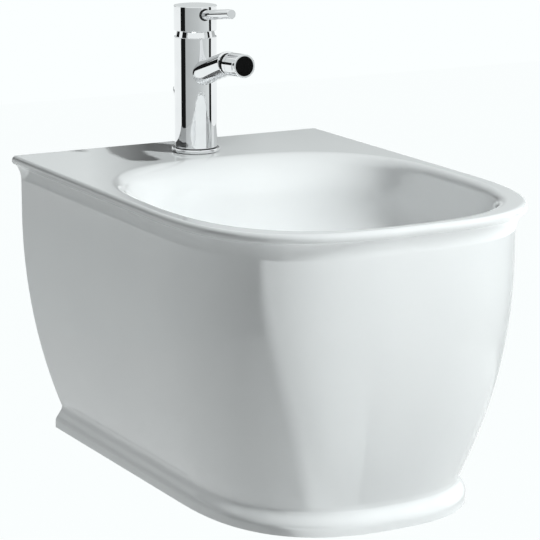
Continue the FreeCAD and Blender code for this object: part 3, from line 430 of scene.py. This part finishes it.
def make_pan():
    bm = bmesh.new()
    skin(bm, [[bm.verts.new(point * MM) for point in ring] for ring in pan_rings()], closed=True)
    bmesh.ops.remove_doubles(bm, verts=bm.verts, dist=MERGE_DISTANCE)
    bmesh.ops.dissolve_degenerate(bm, edges=bm.edges, dist=DEGENERATE_LENGTH)
    bmesh.ops.recalc_face_normals(bm, faces=bm.faces)
    pan = add_object("pan_ceramic", bm)
    smooth(pan.data)
    cutters = pan_cutters()
    for cutter in cutters:
        tool = pan.modifiers.new("cut", "BOOLEAN")
        tool.operation = "DIFFERENCE"
        tool.solver = "EXACT"
        tool.object = cutter
    bpy.context.view_layer.update()
    graph = bpy.context.evaluated_depsgraph_get()
    final = bpy.data.meshes.new_from_object(pan.evaluated_get(graph))
    pan.modifiers.clear()
    uncut = pan.data
    pan.data = final
    bpy.data.meshes.remove(uncut)
    for cutter in cutters:
        bpy.data.objects.remove(cutter)
    smooth(final)
    return pan


# Materials. Noise, cut to its middle range, varies each material's colour and roughness.

NOISE_LOW, NOISE_HIGH = 0.3, 0.7
FINE_BUMP = 0.0002
GLAZE_LOW, GLAZE_HIGH = (0.86, 0.865, 0.87), (0.885, 0.888, 0.89)
GLAZE_ROUGH = (0.05, 0.075)
GLAZE_IOR = 1.5
GLAZE_WAVE = 0.002
GLAZE_WAVE_STRENGTH = 0.03
PLASTIC_BUMP_STRENGTH = 0.08


def material(name):
    mat = bpy.data.materials.new(name)
    mat.use_nodes = True
    tree = mat.node_tree
    return mat, tree, tree.nodes["Principled BSDF"]


def bare_material(name):
    """A material without any nodes."""
    mat = bpy.data.materials.new(name)
    mat.use_nodes = True
    mat.node_tree.nodes.clear()
    return mat, mat.node_tree


def grain(tree, scale, detail=2.0):
    coords = tree.nodes.new("ShaderNodeTexCoord")
    noise = tree.nodes.new("ShaderNodeTexNoise")
    noise.inputs["Scale"].default_value = scale
    noise.inputs["Detail"].default_value = detail
    tree.links.new(coords.outputs["Object"], noise.inputs["Vector"])
    return noise.outputs["Fac"]


def ramp(tree, source, low, high):
    node = tree.nodes.new("ShaderNodeMapRange")
    node.inputs["From Min"].default_value = NOISE_LOW
    node.inputs["From Max"].default_value = NOISE_HIGH
    node.inputs["To Min"].default_value = low
    node.inputs["To Max"].default_value = high
    tree.links.new(source, node.inputs["Value"])
    return node.outputs["Result"]


def tint(tree, source, low, high):
    node = tree.nodes.new("ShaderNodeValToRGB")
    node.color_ramp.elements[0].position = NOISE_LOW
    node.color_ramp.elements[0].color = (*low, 1)
    node.color_ramp.elements[1].position = NOISE_HIGH
    node.color_ramp.elements[1].color = (*high, 1)
    tree.links.new(source, node.inputs["Fac"])
    return node.outputs["Color"]


def bump(tree, source, strength, distance, bsdf):
    node = tree.nodes.new("ShaderNodeBump")
    node.inputs["Strength"].default_value = strength
    node.inputs["Distance"].default_value = distance
    tree.links.new(source, node.inputs["Height"])
    tree.links.new(node.outputs["Normal"], bsdf.inputs["Normal"])


def make_glaze():
    mat, tree, bsdf = material("glaze")
    colour = tint(tree, grain(tree, 9.0), GLAZE_LOW, GLAZE_HIGH)
    tree.links.new(colour, bsdf.inputs["Base Color"])
    tree.links.new(ramp(tree, grain(tree, 40.0), *GLAZE_ROUGH), bsdf.inputs["Roughness"])
    bsdf.inputs["IOR"].default_value = GLAZE_IOR
    bump(tree, grain(tree, 16.0, 1.0), GLAZE_WAVE_STRENGTH, GLAZE_WAVE, bsdf)
    return mat


def make_metal(name, low, high, rough, scale, fine=0.0):
    mat, tree, bsdf = material(name)
    bsdf.inputs["Metallic"].default_value = 1.0
    tree.links.new(tint(tree, grain(tree, scale), low, high), bsdf.inputs["Base Color"])
    tree.links.new(ramp(tree, grain(tree, 3 * scale, 3.0), *rough), bsdf.inputs["Roughness"])
    if fine:
        bump(tree, grain(tree, 12 * scale), fine, FINE_BUMP, bsdf)
    return mat


def make_plastic(name, low, high, rough, scale, gloss=0.5):
    mat, tree, bsdf = material(name)
    bsdf.inputs["Specular IOR Level"].default_value = gloss
    tree.links.new(tint(tree, grain(tree, scale), low, high), bsdf.inputs["Base Color"])
    tree.links.new(ramp(tree, grain(tree, 4 * scale), *rough), bsdf.inputs["Roughness"])
    bump(tree, grain(tree, 20 * scale), PLASTIC_BUMP_STRENGTH, FINE_BUMP, bsdf)
    return mat


def grey(value):
    return (value, value, value)


# Two colours, range of roughness and scale of the noise. A fifth value is the strength of a
# metal's fine bump or a plastic's gloss.
METALS = {
    "chrome": ((0.83, 0.835, 0.845), (0.87, 0.872, 0.88), (0.02, 0.045), 60.0),
    "steel": ((0.52, 0.52, 0.53), grey(0.62), (0.25, 0.38), 90.0, 0.15),
    "brass": ((0.66, 0.49, 0.20), (0.75, 0.58, 0.28), (0.22, 0.34), 80.0, 0.12),
    # dark_metal is near-black: on the spout's socket ring it paints the shade in the nozzle joint's
    # gap, painted shade.
    "dark_metal": (grey(0.03), grey(0.06), (0.12, 0.2), 80.0),
}
PLASTICS = {
    "rubber": (grey(0.018), grey(0.035), (0.6, 0.75), 120.0),
    "white_plastic": ((0.74, 0.74, 0.73), (0.8, 0.8, 0.79), (0.3, 0.4), 60.0),
    "grey_plastic": ((0.22, 0.23, 0.25), (0.3, 0.31, 0.33), (0.35, 0.5), 60.0),
    "black_plastic": (grey(0.0012), grey(0.003), (0.5, 0.6), 90.0, 0.08),
}
MATERIALS = {"glaze": make_glaze()}
for name, look in METALS.items():
    MATERIALS[name] = make_metal(name, *look)
for name, look in PLASTICS.items():
    MATERIALS[name] = make_plastic(name, *look)

nodes = frame["nodes"]
slots = {part["node"]: part["material_slot"] for part in frame["record"]["subparts"]}
for name, obj in nodes.items():
    for slot in obj.material_slots:
        slot.material = MATERIALS[slots[name]]

pan = make_pan()
pan.data.materials.clear()
pan.data.materials.append(MATERIALS["glaze"])
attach(pan, "pan")
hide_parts("bidet_pan")

# Two thin black rubber rings, shaped as seals, paint the shade in the gap over the tap's base ring
# and in the recess round the lever's root as dark lines: painted shade. Sizes in millimetres; the
# play keeps them off the metal.

SEAL_PLAY = 0.03
SEAL_EDGE = 0.25
SEAL_BEVEL = 0.3
BASE_RING_TOP = 84.2
GAP_HEIGHT = 0.8
GAP_RADIUS = 21.0
BASE_SHADE_SEAL_RADIUS = 22.1
LEVER_FACE = (0.0, -86.75, 227.2)
LEVER_RISE = math.radians(7.0)
LEVER_RADIUS = 5.0
LEVER_RECESS_DEPTH = 2.6
LEVER_SHADE_SEAL_RADIUS = 6.35
LEVER_SHADE_SEAL_THICKNESS = 1.2


def shade_seal_ring(name, centre, axis, inner, outer, thick, steps=72):
    """A turned black rubber ring with a rounded outer edge, from centre along axis; its dark colour
    is painted shade in a gap or recess.
    """
    edge = SEAL_EDGE * thick
    bevel = SEAL_BEVEL * edge
    profile = ((inner, 0.0), (outer - edge, 0.0), (outer - bevel, bevel), (outer, edge),
               (outer, thick - edge), (outer - bevel, thick - bevel), (outer - edge, thick),
               (inner, thick))
    along = Vector(axis).normalized()
    across = Vector((1.0, 0.0, 0.0))
    third = along.cross(across)
    bm = bmesh.new()
    rings = []
    for radius, height in profile:
        ring = []
        for k in range(steps):
            turn = 2 * math.pi * k / steps
            spoke = across * math.cos(turn) + third * math.sin(turn)
            ring.append(bm.verts.new((Vector(centre) + along * height + spoke * radius) * MM))
        rings.append(ring)
    skin(bm, rings, closed=True)
    bmesh.ops.recalc_face_normals(bm, faces=bm.faces)
    obj = add_object(name, bm)
    obj.data.shade_smooth()
    # Black rubber: the ring's dark colour is painted shade.
    obj.data.materials.append(MATERIALS["rubber"])
    return obj


# A dark ring in the gap over the base ring: painted shade.
base_gap = (0.0, -TAP_FROM_WALL, BASE_RING_TOP + SEAL_PLAY)
base_shade_seal = shade_seal_ring("base_shade_seal", base_gap, (0.0, 0.0, 1.0), GAP_RADIUS + SEAL_PLAY,
                      BASE_SHADE_SEAL_RADIUS, GAP_HEIGHT - 2 * SEAL_PLAY)
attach(base_shade_seal, "pan")

# A dark ring in the recess round the lever's root: painted shade.
lever_axis = Vector((0.0, -math.cos(LEVER_RISE), math.sin(LEVER_RISE)))
lever_recess = Vector(LEVER_FACE) - (LEVER_RECESS_DEPTH - SEAL_PLAY) * lever_axis
lever_shade_seal = shade_seal_ring("lever_shade_seal", lever_recess, lever_axis, LEVER_RADIUS + SEAL_PLAY,
                       LEVER_SHADE_SEAL_RADIUS, LEVER_SHADE_SEAL_THICKNESS)
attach(lever_shade_seal, "lever")

# Stage: white surroundings, hidden lamps, and cards that only reflections see. In metres and
# degrees, but the two cards that follow the pan are sized in millimetres.

LAMP_TINT = (0.95, 1.0, 1.0)
LAMP_TARGET = (0.0, -0.26, 0.0)
LAMP_DISTANCE = 2.8
SUN = {"azimuth": 41, "elevation": 46, "size": 0.1, "power": 76}

WHITE = (0.965, 1.0, 1.0, 1)
WORLD_LIGHT = 0.04
FLOOR_LEVEL = -0.9
FLOOR_REACH = 6.0
FLOOR_COLOUR = (0.8, 0.8, 0.8, 1)
FLOOR_GLOW = 1.015
FLOOR_GLOW_SHARE = 0.97

CARD_TARGET = (0.0, -0.26, 0.05)
DECK_TARGET = (0.0, -0.26, 0.082)
CARD_STEPS = 24
DARK = 0.01
FRONT_DISTANCE = 2.6
SIDE_DISTANCE = 2.4
BACK_DISTANCE = 0.9
FRONT_BAND = (-10.7, 20)
FLAG_BAND = (-10.7, 45)
LOW_BAND = (-75, -10.8)
DECK_BAND = (4.3, 14.2)
CAP_BAND = (14.3, 26)
CAP_GLOW = 0.72
BOWL_GLOW = 0.95

# The front's bright reflection comes from bands, from the top down, with a slanting left edge
BOUNCE_DISTANCE = 0.85
BOUNCE_LEVELS = (-8.4, -13, -18, -23, -28, -34, -40, -72)
BOUNCE_EDGES = (-61, -60, -58, -55.5, -52.5, -49, -45, -36)
BOUNCE_RIGHT = 15
BOUNCE_LIFT = 0.26
BOUNCE_SHIFT = 0.03
BOUNCE_FADE = 0.15

SHELF_DROP = 26.6
SHELF_REACH = 60.0
SHELF_GAP = 0.6
BOWL_CARD_DROPS = (1.5, 5.0, 12.0, 25.0, 45.0, 70.0, 95.0, 115.0)
BOWL_CARD_GAP = 2.0
BOWL_CARD_HALF_TURN = 72.0

CAMERA_LENS = 172.25
CAMERA_SENSOR = 36.0
CAMERA_CLIP = 50.0
CAMERA_PLACE = (-1.22376, -2.48473, 0.56384)
CAMERA_AIM = (0.4651, 0.8573, -0.2210)


def around(azimuth, elevation, distance, target):
    """A point seen from the target; azimuth turns from the front towards the right."""
    a, e = math.radians(azimuth), math.radians(elevation)
    way = Vector((math.sin(a) * math.cos(e), -math.cos(a) * math.cos(e), math.sin(e)))
    return Vector(target) + distance * way


def even(glow):
    """Stops of a card with the same glow all over."""
    return ((0.0, glow), (1.0, glow))


def glow_card(name, bm, stops, one_sided=False):
    """A card that only reflections see; stops give its glow along the card's turn."""
    obj = add_object(name, bm)
    smooth(obj.data)
    mat, tree = bare_material(name)
    place = tree.nodes.new("ShaderNodeAttribute")
    place.attribute_name = "turn"
    curve = tree.nodes.new("ShaderNodeValToRGB")
    top = max(value for _, value in stops)
    while len(curve.color_ramp.elements) < len(stops):
        curve.color_ramp.elements.new(0.5)
    for element, (share, value) in zip(curve.color_ramp.elements, stops):
        element.position = share
        element.color = (*(value / top * part for part in LAMP_TINT), 1)
    glow = tree.nodes.new("ShaderNodeEmission")
    glow.inputs["Strength"].default_value = top
    tree.links.new(place.outputs["Fac"], curve.inputs["Fac"])
    tree.links.new(curve.outputs["Color"], glow.inputs["Color"])
    surface = glow.outputs[0]
    if one_sided:
        facing = tree.nodes.new("ShaderNodeNewGeometry")
        clear = tree.nodes.new("ShaderNodeBsdfTransparent")
        mix = tree.nodes.new("ShaderNodeMixShader")
        tree.links.new(facing.outputs["Backfacing"], mix.inputs["Fac"])
        tree.links.new(surface, mix.inputs[1])
        tree.links.new(clear.outputs[0], mix.inputs[2])
        surface = mix.outputs[0]
    out = tree.nodes.new("ShaderNodeOutputMaterial")
    tree.links.new(surface, out.inputs["Surface"])
    obj.data.materials.append(mat)
    obj.visible_camera = False
    obj.visible_diffuse = False
    obj.visible_shadow = False


def screen(name, azimuths, elevations, distance, stops, target=CARD_TARGET, lean=0.0):
    """A curved card round the target, with its glow from left to right. Its left edge may lean."""
    bm = bmesh.new()
    turn = bm.verts.layers.float.new("turn")
    rows = []
    for j, elevation in enumerate(spread(*elevations, CARD_STEPS)):
        row = []
        left = azimuths[0] + lean * (1 - j / CARD_STEPS)
        for k, azimuth in enumerate(spread(left, azimuths[1], CARD_STEPS)):
            vert = bm.verts.new(around(azimuth, elevation, distance, target))
            vert[turn] = k / CARD_STEPS
            row.append(vert)
        rows.append(row)
    skin(bm, rows)
    glow_card(name, bm, stops)


def rim_shelf(name, stops):
    """A flat card under the rim that the cove reflects, with its glow from left to right."""
    bm = bmesh.new()
    turn = bm.verts.layers.float.new("turn")
    rows = []
    count = 2 * SIDE_STEPS + FRONT_STEPS + 1
    for reach in (SHELF_GAP, SHELF_REACH):
        ring = pan_ring(WALL_INSET - reach, SHELF_DROP)
        row = []
        for k in range(count):
            along = ring[min(k + 1, count - 1)] - ring[max(k - 1, 0)]
            vert = bm.verts.new(ring[k] * MM)
            vert[turn] = (math.atan2(along.y, along.x) + math.pi / 2) / math.pi
            row.append(vert)
        rows.append(row)
    skin(bm, rows)
    glow_card(name, bm, stops)


def bowl_card(name, stops):
    """A card along the bowl's front wall that the tap reflects."""
    front = [k for k, theta in enumerate(DIRECTIONS)
             if abs(math.degrees(theta) + 90) < BOWL_CARD_HALF_TURN]
    bm = bmesh.new()
    turn = bm.verts.layers.float.new("turn")
    rows = []
    for drop in BOWL_CARD_DROPS:
        ring = bowl_ring(drop, -BOWL_CARD_GAP)
        row = []
        for k in front:
            vert = bm.verts.new(ring[k] * MM)
            vert[turn] = (k - front[0]) / (front[-1] - front[0])
            row.append(vert)
        rows.append(row)
    skin(bm, rows)
    glow_card(name, bm, stops, one_sided=True)


def light(name, azimuth, elevation, size, power):
    """A soft lamp."""
    data = bpy.data.lights.new(name, "AREA")
    data.shape = "DISK"
    data.size = size
    data.energy = power
    data.color = LAMP_TINT
    obj = bpy.data.objects.new(name, data)
    obj.location = around(azimuth, elevation, LAMP_DISTANCE, LAMP_TARGET)
    away = obj.location - Vector(LAMP_TARGET)
    obj.rotation_euler = away.to_track_quat("Z", "Y").to_euler()
    obj.visible_glossy = False
    obj.visible_camera = False
    bpy.context.scene.collection.objects.link(obj)
    return obj


def linked(name, objects):
    """A collection that says what a lamp lights or what shades it."""
    group = bpy.data.collections.new(name)
    for obj in objects:
        group.objects.link(obj)
    return group


def seen(tree):
    """1 for camera, mirror and glass rays, 0 for the rest."""
    path = tree.nodes.new("ShaderNodeLightPath")
    first = tree.nodes.new("ShaderNodeMath")
    first.operation = "MAXIMUM"
    tree.links.new(path.outputs["Is Camera Ray"], first.inputs[0])
    tree.links.new(path.outputs["Is Glossy Ray"], first.inputs[1])
    second = tree.nodes.new("ShaderNodeMath")
    second.operation = "MAXIMUM"
    tree.links.new(first.outputs[0], second.inputs[0])
    tree.links.new(path.outputs["Is Transmission Ray"], second.inputs[1])
    return second.outputs[0]


def make_world():
    world = bpy.data.worlds.new("studio")
    world.use_nodes = True
    tree = world.node_tree
    back = tree.nodes["Background"]
    mix = tree.nodes.new("ShaderNodeMapRange")
    mix.inputs["To Min"].default_value = WORLD_LIGHT
    mix.inputs["To Max"].default_value = 1.0
    tree.links.new(seen(tree), mix.inputs["Value"])
    tree.links.new(mix.outputs["Result"], back.inputs["Strength"])
    back.inputs["Color"].default_value = WHITE
    bpy.context.scene.world = world


def make_floor():
    bm = bmesh.new()
    bmesh.ops.create_grid(bm, x_segments=1, y_segments=1, size=FLOOR_REACH)
    floor = add_object("floor", bm)
    smooth(floor.data)
    floor.location = (0, 0, FLOOR_LEVEL)
    mat, tree = bare_material("floor")
    plain = tree.nodes.new("ShaderNodeBsdfDiffuse")
    plain.inputs["Color"].default_value = FLOOR_COLOUR
    glow = tree.nodes.new("ShaderNodeEmission")
    glow.inputs["Color"].default_value = WHITE
    glow.inputs["Strength"].default_value = FLOOR_GLOW
    mix = tree.nodes.new("ShaderNodeMixShader")
    share = tree.nodes.new("ShaderNodeMath")
    share.operation = "MULTIPLY"
    share.inputs[1].default_value = FLOOR_GLOW_SHARE
    tree.links.new(seen(tree), share.inputs[0])
    tree.links.new(share.outputs[0], mix.inputs["Fac"])
    tree.links.new(plain.outputs[0], mix.inputs[1])
    tree.links.new(glow.outputs[0], mix.inputs[2])
    out = tree.nodes.new("ShaderNodeOutputMaterial")
    tree.links.new(mix.outputs[0], out.inputs["Surface"])
    floor.data.materials.append(mat)
    return floor


make_world()
floor = make_floor()

# The pan and the two painted-shade seal rings don't shade anything from the main lamp. A twin of
# that lamp, for the floor only, gives it the whole object's shadow.
lit = list(nodes.values()) + [pan, base_shade_seal, lever_shade_seal]
casters = [nodes[name] for name in nodes if name != "bidet_pan"]
sun = light("sun", **SUN)
sun.light_linking.receiver_collection = linked("sun_lit", lit)
sun.light_linking.blocker_collection = linked("sun_casters", casters)
floor_sun = light("floor_sun", **SUN)
floor_sun.light_linking.receiver_collection = linked("floor_lit", [floor])
light("low_key", azimuth=30, elevation=-17, size=0.35, power=18)
light("left_fill", azimuth=-135, elevation=2, size=1.2, power=12.5)
light("front_fill", azimuth=-50, elevation=12, size=1.2, power=10)

for k in range(len(BOUNCE_LEVELS) - 1):
    lift = BOUNCE_LIFT * k
    shift = BOUNCE_SHIFT * k
    stops = ((0.0, 0.9), (0.1 + shift, 5.2 - BOUNCE_FADE * k), (0.3 + shift, 4.4),
             (0.6, 2.8 + lift), (1.0, 0.7 + lift))
    band = (BOUNCE_LEVELS[k + 1], BOUNCE_LEVELS[k])
    screen("bounce_%d" % k, (BOUNCE_EDGES[k], BOUNCE_RIGHT), band, BOUNCE_DISTANCE, stops,
           lean=BOUNCE_EDGES[k + 1] - BOUNCE_EDGES[k])
screen("front_grey", (-87, 55), FRONT_BAND, FRONT_DISTANCE, ((0.0, 0.5), (0.5, 0.6), (1.0, 0.8)))
screen("flag_left", (-116, -87), FLAG_BAND, SIDE_DISTANCE, even(DARK))
screen("flag_right", (55, 71), FLAG_BAND, SIDE_DISTANCE, even(DARK))
screen("low_left", (-200, -30), LOW_BAND, SIDE_DISTANCE,
       ((0.0, 1.0), (0.292, 1.0), (0.483, 0.9), (0.647, 0.6), (0.75, 0.35), (1.0, 0.3)))
screen("low_right", (40, 160), LOW_BAND, SIDE_DISTANCE,
       ((0.0, 0.6), (0.35, 0.3), (0.58, 0.3), (0.72, 0.75), (0.85, 0.9), (1.0, 0.95)))
screen("deck_back", (100, 190), DECK_BAND, BACK_DISTANCE,
       ((0.0, 0.5), (0.59, 0.5), (0.65, 0.15), (0.7, 0.15), (0.76, 0.85), (1.0, 0.85)), DECK_TARGET)
screen("bowl_back", (190, 250), DECK_BAND, BACK_DISTANCE, even(DARK), DECK_TARGET)
screen("cap_back", (100, 205), CAP_BAND, BACK_DISTANCE, even(CAP_GLOW), DECK_TARGET)
rim_shelf("rim_shelf", ((0.0, 0.4), (0.2, 0.2), (0.26, 0.6), (0.32, 1.8), (0.5, 2.4), (1.0, 2.4)))
bowl_card("bowl_card", even(BOWL_GLOW))

camera_data = bpy.data.cameras.new("camera")
camera_data.lens = CAMERA_LENS
camera_data.sensor_width = CAMERA_SENSOR
camera_data.clip_end = CAMERA_CLIP
camera = bpy.data.objects.new("camera", camera_data)
camera.location = CAMERA_PLACE
camera.rotation_euler = Vector(CAMERA_AIM).to_track_quat("-Z", "Y").to_euler()
bpy.context.scene.collection.objects.link(camera)
bpy.context.scene.camera = camera
bpy.context.scene.view_settings.view_transform = "Standard"
